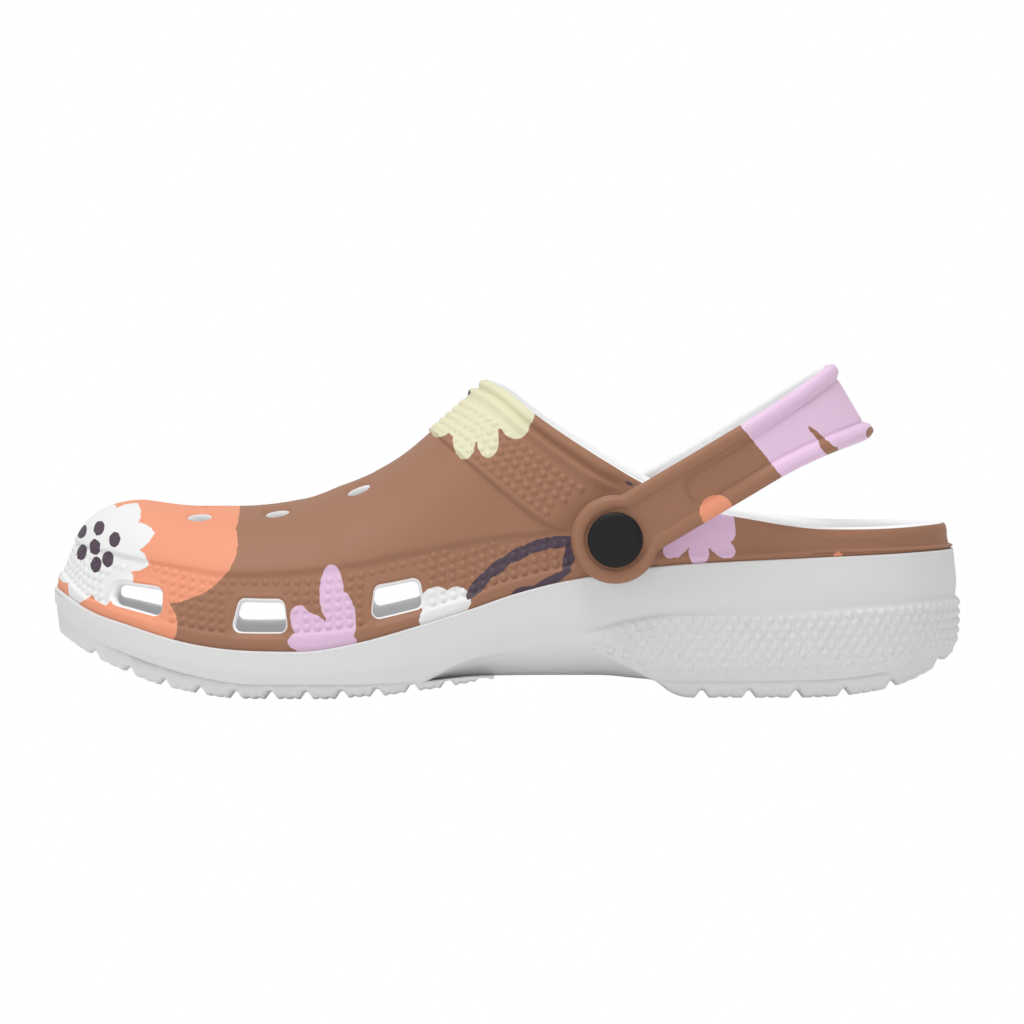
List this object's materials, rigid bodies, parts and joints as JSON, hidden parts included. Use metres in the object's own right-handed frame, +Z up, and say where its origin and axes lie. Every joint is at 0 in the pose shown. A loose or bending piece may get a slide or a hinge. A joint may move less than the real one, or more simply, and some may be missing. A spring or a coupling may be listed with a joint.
{
  "type": "foam clog with heel strap",
  "caption": "Left-foot moulded foam clog with side openings, round vents, a lugged sole and a heel strap that swings on two side rivets.",
  "frame": {"origin": "centre of the overall box, on the ground that the sole stands on", "axes": "+X towards the heel, -Y the outer (lateral) side, +Y the inner (medial) side, +Z up"},
  "size_m": [0.27, 0.1041, 0.098],
  "materials": {
    "printed_foam": "satin moulded foam with a matte multicolour print on the outside and plain white inside",
    "printed_strap_foam": "satin moulded foam, printed outside, plain white inside",
    "sole_foam": "satin moulded white foam",
    "white_foam": "matte moulded white foam",
    "tread_foam": "matte moulded white foam with a fine pebble",
    "black_plastic": "matte black moulded plastic"
  },
  "bodies": {
    "shell": {"upper_shell": "printed_foam", "midsole": "sole_foam", "footbed": "white_foam", "forefoot_outsole": "tread_foam", "heel_outsole": "tread_foam", "rivet_cap_lateral": "black_plastic", "rivet_cap_medial": "black_plastic", "rivet_back_lateral": "black_plastic", "rivet_back_medial": "black_plastic"},
    "strap": {"heel_strap": "printed_strap_foam"}
  },
  "joints": [
    {"name": "strap_pivot", "type": "hinge", "parent": "shell", "child": "strap", "pos_m": [0.0324, 0, 0.0473], "axis": [0, -1, 0], "range_deg": [-17, 124]}
  ]
}
